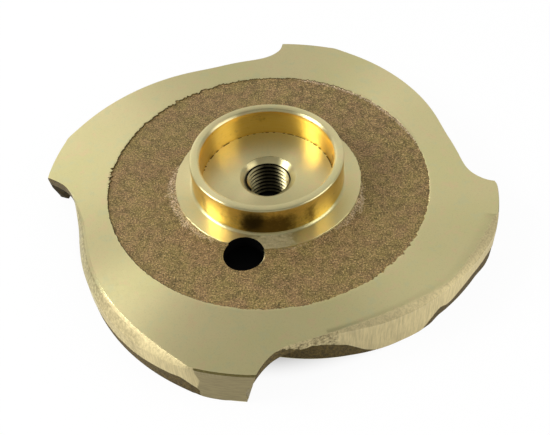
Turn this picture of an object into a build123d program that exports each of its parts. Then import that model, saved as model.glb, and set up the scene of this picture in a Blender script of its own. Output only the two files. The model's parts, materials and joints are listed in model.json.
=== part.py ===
from build123d import *
from math import cos, degrees, exp, pi, radians, sin, tan
import os

# Semi-open pump impeller: one bronze casting, machined on its shaft side and on its rim.
# Millimetres. The axis is Z with the shaft side up, and the part stands on its vane edges at Z = 0.
# Seen from the shaft side it turns clockwise, so each vane leans back counterclockwise to its tip.
# Angles along a lobe are lags: degrees clockwise of the tip that begins it.

# Overall
outside_diameter = 114.3
annulus_height = 11.1            # from the vane edges to the turned face of the shroud
shroud_thickness = 3.0
vane_count = 4
first_tip_angle = 180.0          # counterclockwise from +X
tip_lags = (-0.4, 1.4, 0.9, -1.4)   # degrees by which each cast tip missed its even place

# Rim outline: a flank that follows the vane, then a scoop up to the next tip
land_angle = 15.5                # lag at which the flank leaves the turned diameter
flank_end_angle = 60.0           # lag at which the flank hands over to the scoop
scoop_floor_radius = 49.3
scoop_spread = 3.0               # degrees over which the scoop climbs to the tip
turning_stock = 2.0              # cast metal outside the turned diameter
land_chamfer_width = 0.25
land_chamfer_depth = 0.8
light_edge_grind = 0.3           # how far the top edge of the first two lobes was ground back
heavy_edge_grind = 1.6           # and the third
heaviest_edge_grind = 2.3        # and the fourth
edge_grind_depth = 2.0
edge_grind_end_lead = 10.0       # degrees before the next tip where the grinding ends

# Vanes
blade_angle_at_tip = 8.4         # from the tangent
blade_angle_at_eye = 41.0
blade_angle_power = 1.7
vane_thickness = 4.2             # at the free edge
vane_draft = 0.4                 # added at the root
vane_root_flare = 1.2            # the root widens by this much over this much height
vane_inset = 0.4                 # cast face of the vane behind the ground edge of the shroud
vane_end_lag = 2.6               # the vane stops this far behind the shroud's own tip
eye_radius = 24.0                # where the vanes begin

# Hub, eye side
nose_radius = 9.5
nose_clearance = 0.4             # the nose stays this far above the vane edges
nose_chamfer = 1.0
nose_straight = 1.6              # straight part of the nose below the flare into the shroud

# Hub, shaft side
cast_web_radius = 40.3           # the as-cast web lies inside the turned annulus
cast_web_recess = 0.35
cup_inside_diameter = 33.34      # the seal's seat
cup_wall = 2.38
flange_width = 4.35              # turned flange round the foot of the cup
flange_rise = 0.25               # and its height above the annulus
cup_rim_rise = 8.36              # rim above the annulus
cup_floor_rise = 0.71
cup_base_chamfer = 0.7           # in the corner between the cup and its flange
rim_outer_chamfer = 0.3
rim_inner_chamfer = 0.5

# Shaft thread, bored to the tapping size of 7/16-20
thread_bore_radius = 4.96
countersink_radius = 7.04
countersink_depth = 1.35
countersink_bottom_radius = 5.75
nose_bore_chamfer = 0.6

# Vent hole drilled through the web
vent_radius = 4.76
vent_circle_radius = 25.1
vent_lag = 10.1                  # degrees clockwise of the last tip's even place

rim_radius = outside_diameter / 2
cup_inner = cup_inside_diameter / 2
cup_outer = cup_inner + cup_wall
flange_radius = cup_outer + flange_width
edge_grinds = (light_edge_grind, light_edge_grind, heavy_edge_grind, heaviest_edge_grind)
shroud_bottom = annulus_height - shroud_thickness
lobe_pitch = 360 / vane_count


def polar(radius, angle, height=0.0):
    return Vector(radius * cos(radians(angle)), radius * sin(radians(angle)), height)


def blade_angle(radius):
    """Degrees between the vane and the tangent."""
    inward = max(0.0, (rim_radius - radius) / (rim_radius - eye_radius))
    return blade_angle_at_tip + (blade_angle_at_eye - blade_angle_at_tip) * inward**blade_angle_power


def flank_lag(radius, steps=48):
    """The lag at which the flank, and the vane below it, reach a radius."""
    step = (rim_radius - radius) / steps
    middles = [rim_radius - (n + 0.5) * step for n in range(steps)]
    return land_angle + sum(degrees(step / (r * tan(radians(blade_angle(r))))) for r in middles)


def flank_radius(lag):
    """The radius of the flank at a lag, found by halving."""
    low = eye_radius
    high = rim_radius + 2 * turning_stock
    for _ in range(30):
        middle = (low + high) / 2
        if flank_lag(middle) > lag:
            low = middle
        else:
            high = middle
    return (low + high) / 2


def scoop_radius(lead):
    """The radius of the scoop, at a lead in degrees before the tip that ends it."""
    return scoop_floor_radius + (rim_radius - scoop_floor_radius) * exp(-lead / scoop_spread)


def tip_angle(lobe):
    turns, place = divmod(lobe, vane_count)
    return first_tip_angle - lobe * lobe_pitch - tip_lags[place % len(tip_lags)]


def ground_back(lobe, lag, span):
    """How far the top edge is ground back at a lag: nothing at the tips, most along the flank."""
    share = (lag - land_angle) / (span - edge_grind_end_lead - land_angle)
    if not 0 < share < 1:
        return 0.0
    return edge_grinds[lobe % len(edge_grinds)] * min(1.0, 2 * sin(pi * share))


def outline(height, grinding):
    """The lobed rim as a closed wire. Grinding is 1 at the top edge and 0 below it."""
    edges = []
    points = []
    for lobe in range(vane_count):
        start = tip_angle(lobe)
        end = tip_angle(lobe + 1)
        span = start - end
        flank_lags = [0, land_angle / 2] + [
            land_angle + (flank_end_angle - land_angle) * n / 4 for n in range(5)
        ]
        flank = []
        for lag in flank_lags:
            radius = flank_radius(lag) - grinding * ground_back(lobe, lag, span)
            flank.append(polar(radius, start - lag, height))
        scoop = [flank[-1]]
        for spreads in (5, 3.2, 2.2, 1.4, 0.8, 0.35, 0):
            lead = spreads * scoop_spread
            radius = scoop_radius(lead) - grinding * ground_back(lobe, span - lead, span)
            scoop.append(polar(radius, end + lead, height))
        points.append((flank, scoop))
    for lobe, (flank, scoop) in enumerate(points):
        next_start = points[(lobe + 1) % vane_count][0][0]
        edges.append(Edge.make_spline(flank))
        edges.append(Edge.make_spline(scoop))
        edges.append(Edge.make_line(scoop[-1], next_start))
    return Wire(edges)


def turned_blank():
    """The turned cylinder that trims shroud and vanes, with its small top chamfer."""
    with BuildPart() as blank:
        with BuildSketch(Plane.XZ):
            with BuildLine():
                Polyline(
                    (0, 0),
                    (rim_radius, 0),
                    (rim_radius, annulus_height - land_chamfer_depth),
                    (rim_radius - land_chamfer_width, annulus_height),
                    (0, annulus_height),
                    close=True,
                )
            make_face()
        revolve(axis=Axis.Z)
    return blank.part


def shroud():
    """The scalloped plate, with its hand-ground top edge."""
    knee = annulus_height - edge_grind_depth
    lower = outline(knee, 0)
    ground = Solid.make_loft([lower, outline(annulus_height, 1)], ruled=True)
    plate = Solid.extrude(Face(lower), Vector(0, 0, shroud_bottom - knee))
    return Part() + plate + ground


def hub():
    """Nose, flare, flange and seal cup, turned about the axis."""
    nose_face = nose_clearance
    foot = nose_face + nose_straight
    flare = shroud_bottom - foot
    flange_face = annulus_height + flange_rise
    floor = annulus_height + cup_floor_rise
    rim = annulus_height + cup_rim_rise
    inside_plate = annulus_height - shroud_thickness / 3
    outer_chamfer = min(rim_outer_chamfer, cup_wall / 3)
    inner_chamfer = min(rim_inner_chamfer, cup_wall / 3)
    with BuildPart() as body:
        with BuildSketch(Plane.XZ):
            with BuildLine():
                Polyline(
                    (0, nose_face),
                    (nose_radius - nose_chamfer, nose_face),
                    (nose_radius, nose_face + nose_chamfer),
                    (nose_radius, foot),
                )
                RadiusArc((nose_radius, foot), (nose_radius + flare, shroud_bottom), flare)
                Polyline(
                    (nose_radius + flare, shroud_bottom),
                    (nose_radius + flare, inside_plate),
                    (flange_radius, inside_plate),
                    (flange_radius, flange_face),
                    (cup_outer + cup_base_chamfer, flange_face),
                    (cup_outer, flange_face + cup_base_chamfer),
                    (cup_outer, rim - outer_chamfer),
                    (cup_outer - outer_chamfer, rim),
                    (cup_inner + inner_chamfer, rim),
                    (cup_inner, rim - inner_chamfer),
                    (cup_inner, floor),
                    (0, floor),
                    (0, nose_face),
                )
            make_face()
        revolve(axis=Axis.Z)
    return body.part


def vane_section(lobe, thickness, height):
    """The vane's section as a closed wire, from its rounded nose at the eye to past the turned diameter."""
    start = tip_angle(lobe)
    outer = []
    inner = []
    outermost = flank_radius(vane_end_lag)
    stations = 9
    for n in range(stations):
        radius = outermost + (eye_radius - outermost) * n / (stations - 1)
        angle = start - flank_lag(radius)
        lean = radians(blade_angle(radius))
        outward = polar(1, angle)
        sideways = polar(1, angle + 90)
        across = outward * -cos(lean) + sideways * sin(lean)
        along = outward * -sin(lean) - sideways * cos(lean)
        outer.append(outward * radius + across * vane_inset + Vector(0, 0, height))
        inner.append(outward * radius + across * thickness + Vector(0, 0, height))
    nose = (outer[-1] + inner[-1]) / 2 + along * (thickness - vane_inset) / 2
    return Wire([
        Edge.make_spline(outer),
        Edge.make_three_point_arc(outer[-1], nose, inner[-1]),
        Edge.make_spline(inner[::-1]),
        Edge.make_line(inner[0], outer[0]),
    ])


def vane(lobe):
    """One backward-curved vane, drafted from its free edge and flared into the shroud."""
    root_thickness = vane_thickness + vane_draft
    root_height = shroud_bottom - vane_root_flare
    free_edge = vane_section(lobe, vane_thickness, 0)
    root = vane_section(lobe, root_thickness, root_height)
    flared = vane_section(lobe, root_thickness + vane_root_flare, shroud_bottom)
    blade = Solid.make_loft([free_edge, root], ruled=True)
    flare = Solid.make_loft([root, flared], ruled=True)
    anchor = Solid.extrude(Face(flared), Vector(0, 0, shroud_thickness / 3))
    return Part() + blade + flare + anchor


def bore():
    """The tapping bore with its countersink on the cup floor and a chamfer at the nose."""
    floor = annulus_height + cup_floor_rise
    with BuildPart() as cutter:
        with BuildSketch(Plane.XZ):
            with BuildLine():
                Polyline(
                    (0, 0),
                    (thread_bore_radius + nose_bore_chamfer, 0),
                    (thread_bore_radius + nose_bore_chamfer, nose_clearance),
                    (thread_bore_radius, nose_clearance + nose_bore_chamfer),
                    (thread_bore_radius, floor - countersink_depth),
                    (countersink_bottom_radius, floor - countersink_depth),
                    (countersink_radius, floor),
                    (countersink_radius, floor + 1),
                    (0, floor + 1),
                    close=True,
                )
            make_face()
        revolve(axis=Axis.Z)
    return cutter.part


def cast_web_cut():
    """The ring that stayed as cast between the turned annulus and the flange."""
    depth = cast_web_recess + flange_rise
    ring = Cylinder(cast_web_radius, depth, align=(Align.CENTER, Align.CENTER, Align.MIN))
    ring -= Cylinder(flange_radius, depth, align=(Align.CENTER, Align.CENTER, Align.MIN))
    return Pos(0, 0, annulus_height - cast_web_recess) * ring


def vent_cut():
    """The vent hole, straight through the web."""
    angle = first_tip_angle - (vane_count - 1) * lobe_pitch - vent_lag
    drill = Cylinder(vent_radius, annulus_height * 2)
    return Pos(polar(vent_circle_radius, angle, annulus_height)) * drill


def build_impeller():
    casting = shroud()
    for lobe in range(vane_count):
        casting += vane(lobe)
    casting = casting & turned_blank()
    casting += hub()
    casting -= cast_web_cut()
    casting -= bore()
    casting -= vent_cut()
    return casting


impeller = build_impeller()
impeller.label = "impeller"
os.makedirs("parts", exist_ok=True)
export_step(impeller, "parts/impeller.step")
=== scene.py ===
"""A semi-open bronze pump impeller, lying hub up on its vane edges."""

import json
import math

import bmesh
import bpy
import numpy as np
from bpy.props import FloatProperty, FloatVectorProperty, IntProperty, PointerProperty
from bpy.types import Operator, Panel, PropertyGroup
from mathutils import Matrix, Vector, noise


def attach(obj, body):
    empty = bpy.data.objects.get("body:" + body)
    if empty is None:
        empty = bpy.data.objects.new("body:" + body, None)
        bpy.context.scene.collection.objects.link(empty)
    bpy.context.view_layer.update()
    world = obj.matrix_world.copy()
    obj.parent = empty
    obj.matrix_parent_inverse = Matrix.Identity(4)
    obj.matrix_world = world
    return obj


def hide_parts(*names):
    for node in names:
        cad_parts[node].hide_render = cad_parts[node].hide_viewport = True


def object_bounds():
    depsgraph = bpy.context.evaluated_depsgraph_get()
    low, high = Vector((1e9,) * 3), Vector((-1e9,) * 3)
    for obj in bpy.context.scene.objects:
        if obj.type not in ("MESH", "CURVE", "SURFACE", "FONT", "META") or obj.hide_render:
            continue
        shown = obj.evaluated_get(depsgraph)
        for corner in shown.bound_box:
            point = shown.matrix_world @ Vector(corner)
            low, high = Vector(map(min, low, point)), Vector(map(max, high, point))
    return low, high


bl_info = {
    "name": "Pump impeller",
    "version": (1, 0, 0),
    "blender": (4, 5, 0),
    "location": "3D View > Sidebar > Impeller",
    "description": "Casts, turns and grinds a semi-open pump impeller and sets its stage",
    "category": "Object",
}

MM = 0.001
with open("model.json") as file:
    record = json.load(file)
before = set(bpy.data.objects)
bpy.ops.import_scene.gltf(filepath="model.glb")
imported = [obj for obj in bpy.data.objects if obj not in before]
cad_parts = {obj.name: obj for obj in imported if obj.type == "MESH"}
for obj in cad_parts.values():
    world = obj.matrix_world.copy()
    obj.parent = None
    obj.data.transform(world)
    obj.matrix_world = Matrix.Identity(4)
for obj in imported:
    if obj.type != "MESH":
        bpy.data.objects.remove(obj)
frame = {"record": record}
CAD_BOX = [list(corner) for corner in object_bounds()]
MOUNTS = {mount["name"]: mount for mount in frame["record"]["mounts"]}
SEAT_RADIUS = MOUNTS["seal_seat"]["dims"]["r_mm"] * MM
CUP_RADIUS = MOUNTS["hub_outside"]["dims"]["r_mm"] * MM
TAPPING_RADIUS = MOUNTS["shaft_thread"]["dims"]["r_mm"] * MM
TOTAL_HEIGHT = CAD_BOX[1][2]
OUTSIDE_DIAMETER = 114.3 * MM

TIP_LAGS = (-0.4, 1.4, 0.9, -1.4)  # degrees by which each cast tip missed its even place
FIRST_TIP = 180.0

# Where the metal of each tip really ends, in degrees behind its cast place.
TIP_ENDS = (0.5, 0.0, 0.0, 0.95)
# The scoop that ends each lobe: the radius of its floor, how far it swings out, both in mm, and its spread.
SCOOPS = ((49.3, 5.6, 3.3), (49.3, 6.3, 2.9), (49.3, 7.85, 3.5), (48.3, 8.85, 3.7))
# How far each vane stops short of its tip, in degrees, and how much further on its inner side.
TIP_TEARS = ((3.4, 0.7), (2.6, 1.0), (2.6, 1.0), (2.3, 2.0))
LAND_ENDS = (15.5, 15.5, 11.5, 15.5)  # degrees behind the tip where the grinder began
TIP_ROUNDS = (0.05, 0.05, 0.55, 0.05)  # mm worn off the corner of the tip that each lobe begins at

# What the hand grinder took off the top edge of each lobe: degrees behind the tip, and millimetres.
EDGE_GRINDS = (
    ((14, 0.0), (20, 0.3), (70, 0.3), (80, 0.0)),
    ((14, 0.0), (20, 0.3), (70, 0.3), (80, 0.0)),
    ((9, 0.0), (11, 0.7), (14, 1.5), (18, 1.9), (26, 1.6), (37, 0.9), (46, 1.7), (57, 1.6), (66, 0.7), (77, 0.1), (84, 0.0)),
    ((14, 0.0), (19, 1.0), (25, 1.7), (35, 2.2), (50, 2.4), (64, 2.4), (71, 1.9), (77, 1.1), (86, 0.0)),
)
GRIND_SLOPES = (0.8, 0.8, 0.4, 1.1)  # how deep the grinder went down the wall for each mm that it took
# How high the untouched cast face of each vane reaches below the ground wall: degrees, and millimetres.
CAST_HEIGHTS = (
    ((11, 0.25), (16, 3.8), (22, 5.5), (35, 5.0), (45, 3.6), (55, 3.0), (63, 4.6), (72, 6.2), (80, 8.3)),
    ((12, 0.25), (17, 4.2), (24, 5.9), (33, 4.4), (44, 4.9), (54, 2.2), (61, 3.2), (71, 6.0), (80, 8.3)),
    ((12, 0.25), (15, 4.6), (20, 5.9), (28, 6.5), (33, 5.2), (37, 3.9), (40, 5.1), (43, 2.5), (45, 0.3),
     (58, 0.3), (61, 1.6), (64, 3.9), (66, 5.2), (70, 5.9), (74, 6.3), (77, 6.7), (80, 8.3)),
    ((11.5, 0.25), (12.5, 0.9), (13.4, 2.6), (15.6, 4.3), (18, 5.5), (21, 4.9), (32, 3.6), (40, 3.2),
     (52, 3.4), (62, 4.6), (71, 6.2), (80, 8.3)),
)

FINISHES = ("turned", "polished", "as_cast", "vane_skin", "vent_painted_shade", "thread")


def length(name, description, millimetres):
    """A size in metres that the sidebar shows as a length."""
    return FloatProperty(name=name, description=description, default=millimetres * MM, min=0.0, unit="LENGTH")


def colour(name, description, value):
    """A finish colour that the sidebar shows as a swatch."""
    return FloatVectorProperty(
        name=name, description=description, default=value, size=3, min=0.0, max=1.0, subtype="COLOR"
    )


class ImpellerSizes(PropertyGroup):
    outside_diameter: FloatProperty(
        name="Outside diameter", description="Across the turned rim", default=OUTSIDE_DIAMETER, unit="LENGTH"
    )
    annulus_height: length("Annulus height", "From the vane edges to the turned face", 11.1)
    shroud_thickness: length("Shroud thickness", "Plate thickness at the scoops", 3.0)
    land_angle: FloatProperty(
        name="Land angle", description="How far the turned land runs behind each tip",
        default=math.radians(15.5), subtype="ANGLE",
    )
    tip_lean: FloatProperty(
        name="Lean at the tip", description="Between vane and tangent at the rim",
        default=math.radians(8.4), subtype="ANGLE",
    )
    eye_lean: FloatProperty(
        name="Lean at the eye", description="Between vane and tangent where the vane begins",
        default=math.radians(41.0), subtype="ANGLE",
    )
    eye_radius: length("Eye radius", "Where the vanes begin", 24.0)
    vane_thickness: length("Vane thickness", "At the free edge", 4.2)
    vane_draft: length("Vane draft", "Thickness added at the root", 0.4)
    root_fillet: length("Root fillet", "Radius where vane meets shroud", 1.8)
    web_radius: length("Web radius", "Edge of the web that stayed as cast", 40.3)
    web_recess: length("Web recess", "How far the cast web lies below the turned face", 0.35)
    flange_radius: length("Flange radius", "Turned flange round the cup", 23.4)
    flange_rise: length("Flange rise", "Flange above the annulus", 0.25)
    floor_rise: length("Cup floor rise", "Cup floor above the annulus", 0.71)
    base_fillet: length("Cup fillet", "Between the cup and its flange", 0.8)
    nose_radius: length("Nose radius", "Hub nose on the eye side", 9.5)
    nose_clearance: length("Nose clearance", "Nose face above the vane edges", 0.4)
    nose_straight: length("Nose straight", "Straight part of the nose below its flare", 1.6)
    thread_major: length("Thread radius", "At the roots of the thread in the hub", 5.6)
    thread_pitch: length("Thread pitch", "From crest to crest", 1.27)
    countersink_radius: length("Countersink radius", "At the cup floor", 7.04)
    countersink_depth: length("Countersink depth", "Below the cup floor", 1.35)
    vent_radius: length("Vent radius", "Hole drilled through the web", 4.76)
    vent_circle: length("Vent circle", "Radius that the vent hole sits on", 25.1)
    vent_lag: FloatProperty(
        name="Vent lag", description="Clockwise from the last tip's even place",
        default=math.radians(10.1), subtype="ANGLE",
    )
    rim_steps: IntProperty(name="Rim steps", description="Facets round the shroud", default=960, min=96)


class ImpellerColours(PropertyGroup):
    turned: colour("Turned", "Satin face and flange", (0.80, 0.70, 0.37))
    polished: colour("Polished", "Cup walls", (0.84, 0.57, 0.13))
    as_cast: colour("As cast", "Sand-cast skin of the web", (0.285, 0.187, 0.070))
    # cast skin of the vanes and scoops, drawn far darker than the web's as painted shade
    cast_dark: colour("Dark cast", "Skin of the vanes and scoops", (0.10, 0.068, 0.015))
    ground: colour("Ground", "Belt-ground edges", (0.64, 0.54, 0.29))
    land: colour("Land", "Turned rim of each tip", (0.36, 0.30, 0.155))
    chamfer: colour("Chamfer", "Dull edge above each land", (0.14, 0.115, 0.035))


# Shape


def ease(value, low, high):
    """0 below low, 1 above high and a smooth step between."""
    share = np.clip((value - low) / (high - low), 0.0, 1.0)
    return share * share * (3 - 2 * share)


def grain(points, scale, octaves=3):
    """Soft random heights between about -1 and 1, one for each point."""
    return np.array([noise.fractal(Vector(p) / scale, 1.0, 2.0, octaves) for p in points])


def along_lobes(tables, lobe, lag, blur=1.2):
    """Reads the lobe tables at many lags, in metres, a little smoothed."""
    out = np.zeros_like(lag)
    for number, table in enumerate(tables):
        here = lobe == number
        lags, values = zip(*table)
        reads = [np.interp(lag[here] + shift * blur, lags, values) for shift in (-1, -0.5, 0, 0.5, 1)]
        out[here] = np.mean(reads, axis=0) * MM
    return out


class Rim:
    """The scalloped rim and the blade law that its flanks and the vanes share. Angles are in degrees."""

    def __init__(self, sizes):
        self.sizes = sizes
        self.radius = sizes.outside_diameter / 2
        self.land = math.degrees(sizes.land_angle)
        self.places = np.array([FIRST_TIP - 90 * n - lag for n, lag in enumerate(TIP_LAGS)])
        self.starts = np.array(TIP_ENDS)
        ends = self.places - self.starts
        self.spans = ends - np.append(ends[1:], ends[0] - 360)
        self.radii = np.linspace(sizes.eye_radius - 2 * MM, self.radius + 4 * MM, 500)
        slopes = np.degrees(1 / (self.radii * np.tan(self.lean(self.radii))))
        steps = np.diff(self.radii) * (slopes[1:] + slopes[:-1]) / 2
        travel = np.concatenate(([0.0], np.cumsum(steps)))
        self.lags = self.land + np.interp(self.radius, self.radii, travel) - travel

    def lean(self, radius):
        """The angle between vane and tangent, in radians."""
        sizes = self.sizes
        inward = np.clip((self.radius - radius) / (self.radius - sizes.eye_radius), 0, 1)
        return sizes.tip_lean + (sizes.eye_lean - sizes.tip_lean) * inward**1.7

    def spiral(self, lag):
        """The radius of the vane's outer face at a lag."""
        return np.interp(lag, self.lags[::-1], self.radii[::-1])

    def lag_at(self, radius):
        return float(np.interp(radius, self.radii, self.lags))

    def outline(self, lobe, lag):
        """The radius of the shroud's wall: land, flank and scoop run into each other."""
        floor, swing, spread = (np.array(column) for column in zip(*SCOOPS))
        lead = np.clip(self.starts[lobe] + self.spans[lobe] - lag, 0, None)
        floor = floor[lobe] * MM
        swing = swing[lobe] * MM
        sharp = (self.radius - floor - swing) * np.exp(-lead / 0.25)
        scoop = floor + swing * np.exp(-lead / spread[lobe]) + sharp
        flank = self.spiral(lag)
        soft = 0.3 * MM
        joined = np.maximum(flank, scoop) + soft * np.log1p(np.exp(-np.abs(flank - scoop) / soft))
        worn = np.array(TIP_ROUNDS)[lobe] * MM * np.exp(-np.clip(lag - self.starts[lobe], 0, None) / 0.8)
        return np.minimum(joined, self.radius - worn)

    def place(self, around):
        """Turns even angles into lobe, lag and true angle, with the steps drawn together at the tips."""
        lobes = (FIRST_TIP - around) / 90 % 4
        lobe = np.floor(lobes + 1e-6).astype(int) % 4
        share = np.clip((lobes + 1e-6) % 1.0 - 1e-6, 0, 1)
        share = share - 0.75 * np.sin(2 * math.pi * share) / (2 * math.pi)
        lag = self.starts[lobe] + share * self.spans[lobe]
        return lobe, lag, self.places[lobe] - lag


def read(mesh):
    """The mesh's points as an array."""
    points = np.empty(len(mesh.vertices) * 3)
    mesh.vertices.foreach_get("co", points)
    return points.reshape(-1, 3)


def write(mesh, points):
    mesh.vertices.foreach_set("co", points.ravel())
    mesh.update()


def lathe(name, profile, steps, angle=2 * math.pi, rise=0.0):
    """Spins a closed profile of (radius, height) points about Z into a new mesh object."""
    bm = bmesh.new()
    corners = [bm.verts.new((radius, 0, height)) for radius, height in profile]
    edges = [bm.edges.new(pair) for pair in zip(corners, corners[1:] + corners[:1])]
    full = angle == 2 * math.pi and rise == 0.0
    quarters = 4 if full else 1
    bmesh.ops.spin(
        bm, geom=corners + edges, cent=(0, 0, 0), axis=(0, 0, 1), dvec=(0, 0, rise / steps),
        angle=angle / quarters, steps=steps // quarters, use_merge=False, use_duplicate=False,
    )
    if full:
        first = bm.verts[:] + bm.edges[:] + bm.faces[:]
        for quarter in (1, 2, 3):
            made = bmesh.ops.duplicate(bm, geom=first)["geom"]
            turn = Matrix.Rotation(quarter * math.pi / 2, 3, "Z")
            verts = [item for item in made if isinstance(item, bmesh.types.BMVert)]
            bmesh.ops.rotate(bm, cent=(0, 0, 0), matrix=turn, verts=verts)
        bmesh.ops.remove_doubles(bm, verts=bm.verts, dist=0.004 * MM)
    else:
        bmesh.ops.holes_fill(bm, edges=[e for e in bm.edges if e.is_boundary], sides=0)
    bmesh.ops.recalc_face_normals(bm, faces=bm.faces)
    return finish_mesh(name, bm)


def finish_mesh(name, bm):
    mesh = bpy.data.meshes.new(name)
    bm.to_mesh(mesh)
    bm.free()
    body = bpy.data.objects.new(name, mesh)
    bpy.context.scene.collection.objects.link(body)
    for finish in FINISHES:
        mesh.materials.append(bpy.data.materials.get(finish) or bpy.data.materials.new(finish))
    return body


def paint(mesh, pattern, rules, rest):
    """Gives each face the finish of the first rule that its mean pattern coordinates meet."""
    starts = np.empty(len(mesh.polygons), dtype=np.int32)
    totals = np.empty(len(mesh.polygons), dtype=np.int32)
    corners = np.empty(len(mesh.loops), dtype=np.int32)
    mesh.polygons.foreach_get("loop_start", starts)
    mesh.polygons.foreach_get("loop_total", totals)
    mesh.loops.foreach_get("vertex_index", corners)
    middles = np.add.reduceat(pattern[corners], starts, axis=0) / totals[:, None]
    tests = rules(*middles.T)
    chosen = np.select(
        [test for test, _ in tests], [FINISHES.index(finish) for _, finish in tests], FINISHES.index(rest)
    )
    mesh.polygons.foreach_set("material_index", chosen.astype(np.int32))


def arc(centre, radius, start, end, steps):
    """Points of a circular arc, angles in degrees."""
    turns = [math.radians(start + (end - start) * n / steps) for n in range(steps + 1)]
    return [(centre[0] + radius * math.cos(t), centre[1] + radius * math.sin(t)) for t in turns]


def spread(low, high, steps):
    """Evenly spaced values, ends included."""
    return [low + (high - low) * n / steps for n in range(steps + 1)]


def weigh(mesh, **weights):
    """Stores a weight for each vertex on its face corners, where a boolean keeps it."""
    corners = np.empty(len(mesh.loops), dtype=np.int32)
    mesh.loops.foreach_get("vertex_index", corners)
    for name, values in weights.items():
        mesh.attributes.new(name, "FLOAT", "CORNER").data.foreach_set("value", values[corners])


def edge_drop(rim, lobe, lag):
    """How far the top edge is cut back, and how deep that cut reaches, at each lag."""
    cut = along_lobes(EDGE_GRINDS, lobe, lag)
    depth = 0.35 * MM + np.array(GRIND_SLOPES)[lobe] * cut
    border = np.array(LAND_ENDS)[lobe]
    land = 1 - ease(lag, border - 2, border + 1.5)
    cut = np.maximum(cut, 0.06 * MM) * (1 - land) + 0.25 * MM * land
    depth = depth * (1 - land) + 0.8 * MM * land
    return cut, depth


def land_weight(lobe, lag, depth):
    """1 on the turned land of a tip and 0 behind it, with the bulge that its border has."""
    border = np.array(LAND_ENDS)[lobe] - 1.3 - 1.0 * np.exp(-((depth - 4.6 * MM) / (1.6 * MM)) ** 2)
    dull = np.where(np.asarray(lobe) == 3, 0.5 * ease(lag, 17, 31), 0)
    return np.maximum(np.clip(0.5 + (border - lag) / 2.0, 0, 1), dull)


BEVEL_ROWS = 6
WALL_ROWS = 3


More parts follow.
